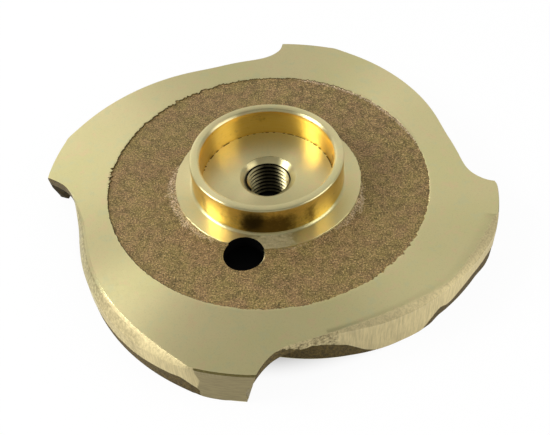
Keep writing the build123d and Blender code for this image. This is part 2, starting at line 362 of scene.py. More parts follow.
class ImpellerCastShroud(Operator):
    """Spin the shroud plate and draw its rim to the scallops"""

    bl_idname = "impeller.cast_shroud"
    bl_label = "Cast the shroud"

    def execute(self, context):
        sizes = context.scene.impeller_sizes
        rim = Rim(sizes)
        top = sizes.annulus_height
        bottom = top - sizes.shroud_thickness
        web = sizes.web_radius
        inside = 14 * MM
        outer = rim.radius
        web_level = top - sizes.web_recess
        profile = [(inside, bottom), (inside, web_level)]
        profile += [(r, web_level) for r in spread(22.6 * MM, web - 0.12 * MM, 22)]
        profile += [(web, web_level + 0.08 * MM), (web + 0.2 * MM, top - 0.02 * MM), (web + 0.3 * MM, top)]
        profile += [(r, top) for r in (41.2 * MM, 43 * MM, 46 * MM, 50 * MM, 54 * MM)]
        profile += [(outer, top - row * MM) for row in range(BEVEL_ROWS + 1)]
        profile += [(outer, top - (BEVEL_ROWS + row) * MM) for row in range(1, WALL_ROWS + 1)]
        profile += [(r, bottom - 50 * MM) for r in spread(56 * MM, 18 * MM, 8)]
        body = lathe("shroud", profile, sizes.rim_steps)
        mesh = body.data
        pattern = read(mesh)
        radius = np.hypot(pattern[:, 0], pattern[:, 1])
        around = np.degrees(np.arctan2(pattern[:, 1], pattern[:, 0]))
        height = pattern[:, 2].copy()
        lobe, lag, angle = rim.place(around)
        wall = rim.outline(lobe, lag)
        cut, depth = edge_drop(rim, lobe, lag)
        on_top = height > bottom - 10 * MM
        rows = (top - height) / MM
        on_bevel = (radius > outer - 1e-6) & (rows < BEVEL_ROWS + 0.1) & on_top
        on_wall = (radius > outer - 1e-6) & (rows > BEVEL_ROWS + 0.1) & on_top
        under = height < bottom - 10 * MM

        # the flat top, drawn to the wall less what was ground off
        stretch = np.clip((radius - 43 * MM) / (outer - 43 * MM), 0, 1)
        limit = wall - cut
        reach = radius + stretch * (limit - outer)
        # bevel rows run from the flat down to the wall
        share = np.clip(1 - rows / BEVEL_ROWS, 0, 1)
        rounded = 0.6 * share + 0.4 * (1 - np.sqrt(np.clip(1 - share**2, 0, 1)))
        reach = np.where(on_bevel, wall - cut * rounded, reach)
        level = np.where(on_bevel, top - depth * (1 - share), height)
        # the wall below stands back where a vane's ground face covers it
        covered = ease(lag, 5.5, 7) * (1 - ease(lag, 74, 77))
        down = np.clip((rows - BEVEL_ROWS) / WALL_ROWS, 0, 1)
        reach = np.where(on_wall, wall - covered * 0.4 * MM * ease(down, 0.0, 0.4), reach)
        level = np.where(on_wall, top - depth - (sizes.shroud_thickness - depth) * down, level)
        reach = np.where(under, radius + np.clip((radius - 18 * MM) / (outer - 18 * MM), 0, 1) * (wall - outer), reach)
        level = np.where(under, bottom, level)

        # the scoop's wall leans back under each tip
        behind = rim.starts[lobe] + rim.spans[lobe] - lag
        close = np.exp(-behind / 5.0) + (1 - ease(lag - rim.starts[lobe], 0, 4))
        lean = np.where(on_bevel | on_wall | under, 0.2 * close * (top - level) / MM, 0)
        angle = angle - lean

        # the cast web: its level, its grain and its ragged edge
        on_web = (radius < web + 0.01 * MM) & on_top & (radius > 20 * MM)
        true = np.radians(angle)
        facing = np.cos(true - math.radians(50))
        shallow = 0.2 * MM * ease(facing, 0.2, 1.0)
        level = np.where(on_web, level + shallow * ease(radius, 26 * MM, web), level)
        ragged = ragged_edge(angle)
        near = np.clip(1 - np.abs(radius - web) / (1.5 * MM), 0, 1)
        reach = np.where(on_top & (radius > 30 * MM) & (radius < 43 * MM), reach + near * ragged, reach)
        points = np.column_stack((reach * np.cos(true), reach * np.sin(true), level))
        bumps = grain(points, 1.5 * MM, 3)
        points[:, 2] += np.where(on_web & (radius < web - 0.05 * MM), 0.07 * MM * bumps, 0)
        points[:, 2] += np.where(under, 0.08 * MM * grain(points, 4 * MM, 2), 0)
        write(mesh, points)

        down = top - np.minimum(level, top)
        edge = np.where(radius > outer - 1e-6, -down, limit - reach)
        ground = np.clip(0.5 - edge / (1.4 * MM), 0, 1) * ease(cut, 0.1 * MM, 0.5 * MM)
        ground = np.where(on_web | under, 0, ground)
        lead = rim.starts[lobe] + rim.spans[lobe] - lag
        side = on_wall | (on_bevel & (rows > 0.5))
        ground = np.where(side, 1.0, ground) * spared(lobe, lag)
        land = np.where(side, land_weight(lobe, lag, down), 0)
        chamfer = np.where(on_bevel & (rows > 0.5), np.clip(1.2 - (rows / BEVEL_ROWS) ** 8, 0, 1), 0)
        chamfer = chamfer * (1 - ease(lag - np.array(LAND_ENDS)[lobe], -2.0, -0.4))
        dark = np.where(side, np.clip(0.5 + (3.5 + 2.0 * down / MM - lead) / 2.0, 0, 1) + burrs(lobe, lag), 0)
        # painted shadow: the step at the web's edge takes the dark cast crust where these windows put it
        step = on_top & (radius > web - 0.01 * MM) & (radius < web + 0.25 * MM)
        shadow = windows(angle, ((128, 50, 1.0), (185, 30, 1.0), (240, 28, 0.7), (75, 22, 0.7), (-35, 25, 0.5)))
        dark = np.where(step, shadow, dark)
        weigh(mesh, ground=ground, land=land, chamfer=chamfer, skin=dark,
              glint=np.where(on_web, glints(angle, radius, sizes), 0))
        flat = np.column_stack((radius, height))

        def rules(r, z):
            return (((z < bottom - 10 * MM) | (r < web), "as_cast"),)

        paint(mesh, flat, rules, "turned")
        return {"FINISHED"}


def spared(lobe, lag):
    """1 where the grinder bit, less on the last lobe, where it only brushed the turned metal."""
    return np.where(lobe == 3, 1 - 0.62 * ease(lag, 38, 50), 1.0)


def burrs(lobe, lag):
    """Dark marks where the grinder left the wall of the third lobe."""
    return np.where(lobe == 2, 0.475 * ease(lag, 60, 70) * (1 - ease(lag, 84, 86)), 0.0)


def windows(angle, spans):
    """Adds up soft windows round the circle: centre and half width in degrees, and height."""
    total = np.zeros_like(angle)
    for centre, width, height in spans:
        off = (angle - centre + 180) % 360 - 180
        total += height * np.exp(-((off / width) ** 2))
    return total


def glints(angle, radius, sizes):
    """Where the tool just scratched the cast web: beside the flange and inside its outer edge."""
    beside = 0.95 * np.exp(-np.clip(radius - sizes.flange_radius, 0, None) / (2.8 * MM))
    inside = np.exp(-np.clip(sizes.web_radius - radius, 0, None) / (1.0 * MM))
    near = windows(angle, ((-145, 35, 1.0), (-25, 28, 1.0), (-75, 20, 0.5), (180, 25, 0.5)))
    far = windows(angle, ((40, 30, 1.0), (75, 15, 0.5), (-40, 25, 0.3), (120, 12, 0.4)))
    return beside * near + inside * far


def ragged_edge(angle):
    """How far the torn edge of the cast web strays from its circle, at angles in degrees."""
    size = 0.05 + windows(
        angle, ((128, 26, 0.55), (178, 5, 0.5), (-35, 22, 0.4), (-75, 20, 0.15), (60, 40, 0.3), (-150, 60, 0.08))
    )
    tears = np.array([noise.fractal((a * 0.9, 7.3, 0.4), 0.6, 2.3, 4) for a in angle])
    chips = np.array([noise.noise((a * 2.1, 3.7, 5.1)) for a in angle])
    return size * (tears * 1.2 + np.where(chips > 0.25, 0.8, 0)) * MM


class ImpellerSweepVanes(Operator):
    """Sweep the four vanes along their spirals"""

    bl_idname = "impeller.sweep_vanes"
    bl_label = "Sweep the vanes"

    def execute(self, context):
        sizes = context.scene.impeller_sizes
        for lobe in range(4):
            self.sweep(sizes, lobe)
        return {"FINISHED"}

    def sweep(self, sizes, lobe):
        rim = Rim(sizes)
        top = sizes.annulus_height
        bottom = top - sizes.shroud_thickness
        # The pattern: 0 to 1 across from the outer to the inner face, 0 to 1 up, and the sweep's angle along.
        section = [(0.0, v) for v in (0.04, 0.12, 0.2, 0.28, 0.35, 0.42, 0.49, 0.51, 0.58, 0.68, 0.78, 0.89, 1.0)]
        section += [(0.33, 1.0), (0.66, 1.0)]
        section += [(1.0, v) for v in (1.0, 0.9, 0.85, 0.8, 0.76, 0.71, 0.66, 0.6, 0.45, 0.3, 0.15, 0.03)]
        section += [(0.94, 0.0), (0.7, 0.0), (0.5, 0.0), (0.3, 0.0), (0.05, 0.0)]
        steps = 150
        sweep_angle = 1.0
        base = 2.0
        body = lathe(
            f"vane_{lobe + 1}", [(base + u, v) for u, v in section], steps, angle=sweep_angle
        )
        mesh = body.data
        pattern = read(mesh)
        across = np.hypot(pattern[:, 0], pattern[:, 1]) - base
        along = np.clip(np.arctan2(pattern[:, 1], pattern[:, 0]) / sweep_angle, 0, 1)
        up = pattern[:, 2]
        lobes = np.full(across.shape, lobe)
        end = np.full(across.shape, rim.lag_at(sizes.eye_radius))

        # the free end is torn off short of the tip, and slants with the scoop's wall under the shroud
        torn = np.array([noise.fractal((u * 1.7, v * 7.0, lobe * 3.7), 1.0, 2.0, 3) for u, v in zip(across, up)])
        tip = rim.starts[lobe]
        low_end = TIP_TEARS[lobe][0] + 0.7 * torn + TIP_TEARS[lobe][1] * across
        high_end = 0.15 + 2.0 * (1 - up) + 0.4 * across
        begin = tip + low_end + (high_end - low_end) * ease(up, 0.47, 0.53)
        lag = begin + (end - begin) * along**1.25

        cut, depth = edge_drop(rim, lobes, lag)
        wall = rim.outline(lobes, lag)
        spiral = rim.spiral(lag)
        cast_top = along_lobes(CAST_HEIGHTS, lobes, lag, 0.5)
        hidden = ease(lag, 74, 78)
        upper = (top - depth) * (1 - hidden) + (top - 1.4 * MM) * hidden
        cast_top = np.minimum(cast_top, np.minimum(upper - 0.3 * MM, 8.3 * MM))
        # near the free end the cast face stops under the shroud
        step = 5.7 * MM * (1 - ease(lag - tip, 5.0, 8.0))
        cast_top = np.maximum(cast_top, step)

        low = up <= 0.5
        outer_level = np.where(low, cast_top * (up / 0.5), cast_top + (upper - cast_top) * (up - 0.5) / 0.5)
        inner_level = up * upper
        level = outer_level + (inner_level - outer_level) * across

        # outer face: ground flush with the shroud's wall above, cast below
        body_face = np.minimum(spiral, rim.radius)
        worn = cast_sink(lobe, lag) * np.clip(1 - level / np.maximum(cast_top, 0.1 * MM), 0, 1)
        untouched = ease(lag - tip, 12.5, 14.0)
        cast_face = body_face - (worn + 0.1 * MM * ease(cast_top - level, 0, 0.3 * MM)) * untouched
        inside = hidden * 0.6 * MM
        under = np.clip((level - (bottom - 1.4 * MM)) / (1.4 * MM), 0, 1)
        proud = np.where(lag > 66, ease(under, 0.0, 1.0), 1.0)
        ground_face = wall - inside
        proud = proud * (1 - hidden)
        ground_face = ground_face * proud + np.minimum(body_face, ground_face) * (1 - proud)
        face = np.where(low, cast_face, ground_face)
        angle = np.radians(rim.places[lobe] - lag)
        lean = rim.lean(spiral)
        outward = np.column_stack((np.cos(angle), np.sin(angle)))
        sideways = np.column_stack((-np.sin(angle), np.cos(angle)))
        crossing = -np.cos(lean)[:, None] * outward + np.sin(lean)[:, None] * sideways
        fill = sizes.root_fillet
        climb = np.clip((level - (bottom - fill)) / fill, 0, 1)
        flare = fill * (1 - np.sqrt(1 - climb**2))
        thick = sizes.vane_thickness + sizes.vane_draft * np.clip(level / bottom, 0, 1) + flare
        inner_side = outward * spiral[:, None] + crossing * thick[:, None]
        outer_side = outward * face[:, None]
        middle = (outer_side + inner_side) / 2
        nose = np.clip((along - 0.975) / 0.025, 0, 1)
        width = np.sqrt(np.clip(1 - nose**2, 0.02, 1))
        flat = outer_side + (inner_side - outer_side) * across[:, None]
        flat = middle + (flat - middle) * width[:, None]
        points = np.column_stack((flat, level))
        skin = grain(points, 3 * MM, 3) * 0.06 * MM
        cast = np.where(across > 0.5, 1.0, np.where((across < 0.01) & low, untouched, 0.0))
        points[:, :2] += crossing * (skin * cast * (up > 0.05))[:, None]
        write(mesh, points)

        down = top - level
        outside = across < 0.01
        land = np.where(outside, land_weight(lobes, lag, down), 0)
        over = np.clip(0.5 + (level - cast_top) / (0.8 * MM), 0, 1)
        cast_skin = np.where(outside, 1 - over, 1.0)
        cast_skin = np.where(outside, cast_skin * ease(lag - tip, 12.4, 13.4), cast_skin)
        cast_skin = np.where(outside & ~low, np.maximum(cast_skin, burrs(lobes, lag)), cast_skin)
        cast_skin = np.where(up < 0.01, 0, cast_skin)
        if lobe == 3:
            end = ~outside & (along < 0.001)
            land = np.where(end, 1, land)
            cast_skin = np.where(end, 0, cast_skin)
        weigh(
            mesh, ground=np.where(outside, 1.0, 0.0) * spared(lobes, lag), land=land, chamfer=0 * land, skin=cast_skin, glint=0 * land
        )

        # the vane's inner face, underside and torn end take the vane skin, dark as painted shade
        def rules(u, v, s):
            return ((v < 0.02, "turned"), (((u > 0.2) & (s > 0.002)) | ((s < 0.002) & (lobe != 3)), "vane_skin"))

        paint(mesh, np.column_stack((across, up, along)), rules, "turned")
        bm = bmesh.new()
        bm.from_mesh(mesh)
        bmesh.ops.recalc_face_normals(bm, faces=bm.faces)
        bm.to_mesh(mesh)
        bm.free()


def cast_sink(lobe, lag):
    """How far the cast face falls back towards the vane's free edge."""
    shallow = 0.12 * MM + 0 * lag
    if lobe == 2:
        shallow = shallow + 0.65 * MM * ease(lag, 18, 24) * (1 - ease(lag, 38, 43))
    return shallow


class ImpellerTurnHub(Operator):
    """Spin the hub: nose, flare, flange, seal cup and bore"""

    bl_idname = "impeller.turn_hub"
    bl_label = "Turn the hub"

    def execute(self, context):
        sizes = context.scene.impeller_sizes
        top = sizes.annulus_height
        under = top - sizes.shroud_thickness
        nose = sizes.nose_radius
        face = sizes.nose_clearance
        foot = face + sizes.nose_straight
        flare = under - foot
        flange = sizes.flange_radius
        level = top + sizes.flange_rise
        floor = top + sizes.floor_rise
        fillet = sizes.base_fillet
        bore = sizes.thread_major
        sink_bottom = floor - sizes.countersink_depth
        profile = [(bore, face + 0.5 * MM), (bore + 0.5 * MM, face)]
        profile += [(nose - 1.0 * MM, face)]
        profile += arc((nose - 0.9 * MM, face + 0.9 * MM), 0.9 * MM, -80, 0, 5)
        profile += arc((nose + flare, foot), flare, 180, 90, 12)
        profile += [(nose + flare, under + 1 * MM), (flange, under + 1.2 * MM), (flange, level - 0.06 * MM)]
        profile += [(flange - 0.08 * MM, level), (flange - 1.2 * MM, level)]
        profile += arc((CUP_RADIUS + fillet, level + fillet), fillet, 270, 180, 7)
        profile += [(CUP_RADIUS, h) for h in spread(level + 2 * MM, TOTAL_HEIGHT - 0.35 * MM, 3)]
        profile += arc((CUP_RADIUS - 0.42 * MM, TOTAL_HEIGHT - 0.42 * MM), 0.42 * MM, 0, 90, 5)
        profile += [(SEAT_RADIUS + 0.62 * MM, TOTAL_HEIGHT), (SEAT_RADIUS + 0.52 * MM, TOTAL_HEIGHT - 0.04 * MM)]
        profile += [(SEAT_RADIUS + 0.06 * MM, TOTAL_HEIGHT - 0.52 * MM), (SEAT_RADIUS, TOTAL_HEIGHT - 0.62 * MM)]
        profile += [(SEAT_RADIUS, h) for h in spread(TOTAL_HEIGHT - 2 * MM, floor + 0.5 * MM, 3)]
        profile += [(SEAT_RADIUS, floor + 0.1 * MM), (SEAT_RADIUS - 0.05 * MM, floor - 0.06 * MM)]
        profile += [(SEAT_RADIUS - 0.3 * MM, floor - 0.06 * MM), (SEAT_RADIUS - 0.38 * MM, floor)]
        profile += [(12 * MM, floor), (sizes.countersink_radius + 0.3 * MM, floor)]
        profile += [(sizes.countersink_radius + 0.12 * MM, floor), (sizes.countersink_radius, floor - 0.05 * MM)]
        profile += [(5.74 * MM, sink_bottom), (5.3 * MM, sink_bottom - 0.4 * MM)]
        profile += [(bore, sink_bottom - 0.5 * MM)]
        body = lathe("hub", profile, 240)
        mesh = body.data
        points = read(mesh)
        radius = np.hypot(points[:, 0], points[:, 1])
        angle = np.degrees(np.arctan2(points[:, 1], points[:, 0]))
        edge = (np.abs(radius - flange) < 0.2 * MM) & (points[:, 2] > under)
        torn = np.array([noise.fractal((a * 0.5, 2.2, 5.5), 0.8, 2.1, 4) for a in angle])
        stretch = np.where(edge, 1 + 0.16 * MM * torn / flange, 1)
        points[:, 0] *= stretch
        points[:, 1] *= stretch
        write(mesh, points)

        # dark tarnish low on the front of the cup, mostly a painted dark reflection where the wall faces the camera,
        # with real stains beside it; and pits in the corner of its floor
        climb = (points[:, 2] - level) / (TOTAL_HEIGHT - level)
        tarnish_and_painted_reflection = windows(angle, ((-97, 11, 1.0), (-77, 13, 0.85), (-54, 6, 0.7), (-140, 4, 0.55), (-120, 8, 0.3)))
        stain = np.where(np.abs(radius - CUP_RADIUS) < 0.1 * MM, tarnish_and_painted_reflection * (1 - 0.8 * ease(climb, 0.5, 1.0)), 0)
        groove = (radius > SEAT_RADIUS - 0.34 * MM) & (radius < SEAT_RADIUS - 0.02 * MM) & (points[:, 2] < floor)
        dots = np.array([noise.fractal((a * 0.75, 3.1, 8.8), 0.6, 2.1, 3) for a in angle])
        rough = windows(angle, ((140, 22, 0.5), (168, 15, 0.3), (58, 24, 0.7), (20, 18, 0.6), (95, 30, 0.25)))
        # painted shade: a dark line round the back of the countersink's edge, carried in the skin weight
        countersink_painted_shade_ring = (np.abs(radius - sizes.countersink_radius - 0.1 * MM) < 0.08 * MM) & (points[:, 2] > floor - 0.1 * MM)
        skin = np.where(groove, rough + dots, np.where(countersink_painted_shade_ring, windows(angle, ((90, 75, 0.75),)), 0))
        scuffed = (radius > CUP_RADIUS + 0.4 * MM) & (np.abs(points[:, 2] - level) < 0.2 * MM)
        ground = np.where(scuffed, windows(angle, ((-84, 30, 0.57),)), 0)
        weigh(mesh, stain=stain, skin=skin, ground=ground)

        def rules(x, y, z):
            r = np.hypot(x, y)
            outer_wall = (r > CUP_RADIUS - 0.03 * MM) & (z > level + 0.7 * MM) & (z < TOTAL_HEIGHT - 0.4 * MM)
            inner_wall = (r > SEAT_RADIUS - 0.1 * MM) & (r < SEAT_RADIUS + 0.48 * MM) & (z > floor)
            inner_wall = inner_wall & (z < TOTAL_HEIGHT - 0.6 * MM)
            return (
                ((r < bore + 0.15 * MM) & (z < sink_bottom - 0.42 * MM), "thread"),
                # the hub's flare under the shroud takes the vane skin, dark as painted shade
                ((z < under) & (z > face + 0.9 * MM), "vane_skin"),
                (z < under, "turned"),
                (outer_wall | inner_wall, "polished"),
            )

        paint(mesh, points, rules, "turned")
        return {"FINISHED"}


class ImpellerCutThread(Operator):
    """Wind the thread of the hub as one helical ridge"""

    bl_idname = "impeller.cut_thread"
    bl_label = "Cut the thread"

    def execute(self, context):
        sizes = context.scene.impeller_sizes
        pitch = sizes.thread_pitch
        low = sizes.nose_clearance + 0.02 * MM
        high = sizes.annulus_height + sizes.floor_rise - sizes.countersink_depth + 0.75 * MM
        half = 0.44 * pitch
        turns = (high - low) / pitch - 0.88
        root = sizes.thread_major + 0.12 * MM
        crest_with_painted_shade = TAPPING_RADIUS
        middle = low + half
        profile = [
            (root, middle - half), (crest_with_painted_shade, middle - 0.07 * pitch), (crest_with_painted_shade, middle + 0.07 * pitch), (root, middle + half)
        ]
        steps = int(72 * turns)
        body = lathe(
            "thread", profile, steps, angle=2 * math.pi * turns, rise=pitch * turns
        )
        mesh = body.data
        mesh.polygons.foreach_set("material_index", [FINISHES.index("thread")] * len(mesh.polygons))
        return {"FINISHED"}


class ImpellerDrillVent(Operator):
    """Join the casting into one body and drill the vent hole"""

    bl_idname = "impeller.drill_vent"
    bl_label = "Join and drill"

    def execute(self, context):
        sizes = context.scene.impeller_sizes
        top = sizes.annulus_height
        radius = sizes.vent_radius
        profile = [(0.0001 * MM, -1 * MM), (radius, -1 * MM)]
        lip_level = top - 0.45 * MM
        profile += [(radius, lip_level - 0.15 * MM), (radius + 0.16 * MM, lip_level + 0.15 * MM), (radius + 0.16 * MM, top + 3 * MM)]
        profile += [(0.0001 * MM, top + 3 * MM)]
        drill = lathe("drill", profile, 96)
        points = read(drill.data)
        around = np.degrees(np.arctan2(points[:, 1], points[:, 0]))
        lip = 0.02 * MM + windows(around, ((-12, 26, 0.38), (-125, 35, 0.22))) * MM
        wide = np.hypot(points[:, 0], points[:, 1]) > radius + 0.05 * MM
        stretch = np.where(wide, (radius + lip) / (radius + 0.16 * MM), 1)
        points[:, :2] *= stretch[:, None]
        write(drill.data, points)
        angle = math.radians(FIRST_TIP - 270) - sizes.vent_lag
        centre = Vector((math.cos(angle), math.sin(angle), 0)) * sizes.vent_circle

        def lip_rules(x, y, z):
            return (((np.abs(z - lip_level) < 0.1 * MM) & (np.hypot(x, y) > radius + 0.05 * MM), "turned"),)

        # the vent's wall takes the near-black painted shade; only its lip is turned
        paint(drill.data, read(drill.data), lip_rules, "vent_painted_shade")
        drill.data.transform(Matrix.Translation(centre))
        casting = bpy.data.objects["shroud"]
        parts = ["hub", "thread"] + [f"vane_{n + 1}" for n in range(4)]
        for name in parts:
            self.join(casting, bpy.data.objects[name], "UNION")
        self.join(casting, drill, "DIFFERENCE")
        casting.name = "impeller_casting"
        mesh = casting.data
        self.trim(mesh)
        mesh.shade_smooth()
        mesh.set_sharp_from_angle(angle=math.radians(32))
        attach(casting, "root")
        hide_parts("impeller")
        print("casting", len(mesh.polygons), "faces", len(mesh.loops) - 2 * len(mesh.polygons), "triangles")
        return {"FINISHED"}

    def trim(self, mesh):
        """Deletes the slivers that the joins leave loose, so that one closed shell is left."""
        bm = bmesh.new()
        bm.from_mesh(mesh)
        left = set(bm.faces)
        shells = []
        while left:
            front = {left.pop()}
            shell = set(front)
            while front:
                front = {face for known in front for edge in known.edges for face in edge.link_faces} & left
                left -= front
                shell |= front
            shells.append(shell)
        shells.sort(key=len)
        stray = [face for shell in shells[:-1] for face in shell]
        bmesh.ops.delete(bm, geom=stray, context="FACES")
        open_edges = sum(1 for edge in bm.edges if len(edge.link_faces) != 2)
        print("shells", len(shells), "stray faces", len(stray), "open edges", open_edges)
        bm.to_mesh(mesh)
        bm.free()

    def join(self, casting, tool, operation):
        modifier = casting.modifiers.new("join", "BOOLEAN")
        modifier.solver = "MANIFOLD"
        modifier.operation = operation
        modifier.object = tool
        bpy.context.view_layer.update()
        evaluated = casting.evaluated_get(bpy.context.evaluated_depsgraph_get())
        mesh = bpy.data.meshes.new_from_object(evaluated)
        casting.modifiers.remove(modifier)
        if len(mesh.polygons) == 0:
            raise RuntimeError(f"joining {tool.name} gave no faces")
        casting.data = mesh
        bpy.data.objects.remove(tool)


# Finishes


class Value:
    """An output of a shader node, with arithmetic that adds Math nodes."""

    def __init__(self, graph, socket):
        self.graph = graph
        self.socket = socket

    def _maths(self, operation, *values):
        return self.graph.node("ShaderNodeMath", {"operation": operation}, *values)

    def __add__(self, other):
        return self._maths("ADD", self, other)

    def __sub__(self, other):
        return self._maths("SUBTRACT", self, other)

    def __rsub__(self, other):
        return self._maths("SUBTRACT", other, self)

    def __mul__(self, other):
        return self._maths("MULTIPLY", self, other)

    def __truediv__(self, other):
        return self._maths("DIVIDE", self, other)

    def power(self, other):
        return self._maths("POWER", self, other)

    def above(self, low, high):
        """A smooth step from 0 to 1 between two values."""
        settings = {"interpolation_type": "SMOOTHSTEP", "clamp": True}
        return self.graph.node("ShaderNodeMapRange", settings, self, low, high, 0.0, 1.0)

    __radd__ = __add__
    __rmul__ = __mul__


class Graph:
    """The node tree of one material, or of the world, built by calls."""

    def __init__(self, name, world=None):
        self.material = world or bpy.data.materials.get(name) or bpy.data.materials.new(name)
        self.material.use_nodes = True
        self.tree = self.material.node_tree
        self.tree.nodes.clear()

    def node(self, kind, settings=None, *values, output=0, **named):
        made = self.tree.nodes.new(kind)
        for key, value in (settings or {}).items():
            setattr(made, key, value)
        for key, value in list(enumerate(values)) + list(named.items()):
            if value is None:
                continue
            socket = made.inputs[key.replace("_", " ") if isinstance(key, str) else key]
            if isinstance(value, Value):
                self.tree.links.new(value.socket, socket)
            elif isinstance(value, tuple) and len(value) == 3 and socket.type == "RGBA":
                socket.default_value = (*value, 1.0)
            else:
                socket.default_value = value
        return Value(self, made.outputs[output]) if made.outputs else made

    def place(self):
        """Object coordinates in millimetres."""
        coordinates = self.node("ShaderNodeTexCoord", output="Object")
        return self.node("ShaderNodeVectorMath", {"operation": "SCALE"}, coordinates, Scale=1000.0)

    def stretch(self, place, scale):
        """Coordinates scaled by axis, for marks that run one way."""
        return self.node("ShaderNodeVectorMath", {"operation": "MULTIPLY"}, place, scale)

    def weight(self, name, fray, width, soft=0.08):
        """The weight stored as an attribute, with its border broken up by a noise."""
        stored = self.node("ShaderNodeAttribute", {"attribute_name": name}, output="Fac")
        return (stored + (fray - 0.5) * width).above(0.5 - soft, 0.5 + soft)

    def noise(self, place, scale, detail=2.0, roughness=0.5, output="Fac"):
        return self.node("ShaderNodeTexNoise", None, place, Scale=scale, Detail=detail, Roughness=roughness,
                         output=output)

    def mix(self, factor, first, second, blend="MIX"):
        made = self.tree.nodes.new("ShaderNodeMix")
        made.data_type = "RGBA"
        made.blend_type = blend
        for socket, value in ((made.inputs[0], factor), (made.inputs[6], first), (made.inputs[7], second)):
            if isinstance(value, Value):
                self.tree.links.new(value.socket, socket)
            elif isinstance(value, (int, float)):
                socket.default_value = value
            else:
                socket.default_value = (*value, 1.0)
        return Value(self, made.outputs[2])

    def bump(self, height, distance, strength=1.0, normal=None):
        return self.node("ShaderNodeBump", None, Height=height, Distance=distance * MM, Strength=strength,
                         Normal=normal)

    def finish(self, colour, metallic, roughness, normal=None, **fixed):
        shader = self.node("ShaderNodeBsdfPrincipled", None, Base_Color=colour, Metallic=metallic,
                           Roughness=roughness, Normal=normal, **fixed)
        self.node("ShaderNodeOutputMaterial", None, shader)
        return self.material


def shade(value, factor):
    return tuple(min(1.0, channel * factor) for channel in value)


def turned_finish(colours):
    """Turned brass with its ground edges, lands and cast skin, each where its weight puts it; the skin weight also lays
    painted shade on the scoops, the web's step and the countersink's edge.
    """
    graph = Graph("turned")
    place = graph.place()
    fray = graph.noise(place, 1.3, 4.0, 0.65)
    ground = graph.weight("ground", fray, 0.5)
    land = graph.weight("land", fray, 0.25)
    chamfer = graph.weight("chamfer", fray, 0.2)
    skin = graph.weight("skin", fray, 0.4)

    base = tuple(colours.turned)
    cloud = graph.noise(place, 0.05, 3.0)
    tint = graph.mix(cloud.above(0.35, 0.7), base, (base[0] * 0.95, base[1] * 0.99, base[2] * 0.92))
    mottle = graph.noise(place, 0.3, 4.0, 0.65)
    tint = graph.mix(mottle.above(0.53, 0.68) * 0.7, tint, (base[0] * 1.03, base[1] * 0.95, base[2] * 0.98))
    tint = graph.mix(mottle.above(0.47, 0.32) * 0.7, tint, (base[0] * 0.90, base[1] * 0.98, base[2] * 1.02))
    speck = graph.noise(place, 3.0, 4.0, 0.7)
    tint = graph.mix(speck.above(0.5, 0.75) * 0.35, tint, shade(base, 0.7))
    belt = graph.noise(graph.stretch(place, (2.4, 2.4, 0.22)), 1.0, 4.0, 0.65)
    wiped = graph.mix(belt.above(0.3, 0.75), shade(tuple(colours.ground), 1.12), shade(tuple(colours.ground), 0.8))
    tint = graph.mix(ground, tint, wiped)
    rings = graph.noise(graph.stretch(place, (0.3, 0.3, 2.5)), 1.0, 3.0)
    brown = graph.mix(rings.above(0.3, 0.7), shade(tuple(colours.land), 1.08), shade(tuple(colours.land), 0.86))
    tint = graph.mix(land, tint, brown)
    olive = graph.mix(fray.above(0.35, 0.65), tuple(colours.chamfer), shade(tuple(colours.chamfer), 1.4))
    tint = graph.mix(chamfer, tint, olive)
    sand = graph.noise(place, 1.6, 5.0, 0.7)
    # the crust takes the dark cast colour, which is darkened as painted shade
    crust = graph.mix(sand.above(0.35, 0.7), shade(tuple(colours.cast_dark), 0.6),
                      shade(tuple(colours.cast_dark), 1.7))
    tint = graph.mix(skin, tint, crust)

    worn = 1 - (1 - ground) * (1 - skin)
    metal = 0.95 - ground * 0.25 - skin * 0.45
    rough = graph.noise(place, 0.9, 3.0) * 0.10 + 0.31 + ground * 0.2 + skin * 0.18
    marks = graph.noise(place, 3.0, 3.0, 0.7) * 0.014 * (1 - worn)
    scores = belt * 0.05 * ground * (1 - skin) * (1 - land)
    pits = sand * 0.25 * skin
    normal = graph.bump(marks + scores + pits, 1.0, 0.8)
    return graph.finish(tint, metal, rough, normal, Anisotropic=0.8, Anisotropic_Rotation=0.25)


def polished_finish(colours):
    graph = Graph("polished")
    place = graph.place()
    base = tuple(colours.polished)
    stain = graph.noise(place, 0.45, 5.0, 0.65)
    tint = graph.mix(stain.above(0.56, 0.74) * 0.6, base, (base[0] * 0.55, base[1] * 0.5, base[2] * 0.5))
    streak = graph.noise(graph.stretch(place, (0.25, 0.25, 3.0)), 1.0, 3.0)
    tint = graph.mix(streak.above(0.4, 0.65) * 0.35, tint, (base[0] * 1.05, base[1] * 1.12, base[2] * 1.7))
    tarnish_and_painted_reflection = graph.weight("stain", graph.noise(place, 0.7, 5.0, 0.7), 0.9, 0.4)
    # painted reflection: near-black band low on the front of the cup, with some real stains beside it
    tint = graph.mix(tarnish_and_painted_reflection * 0.92, tint, (0.10, 0.055, 0.006))
    rough = graph.noise(place, 1.2, 3.0) * 0.12 + 0.26
    normal = graph.bump(graph.noise(place, 2.0, 2.0), 0.004, 0.5)
    return graph.finish(tint, 1.0, rough, normal, Anisotropic=0.7, Anisotropic_Rotation=0.25)


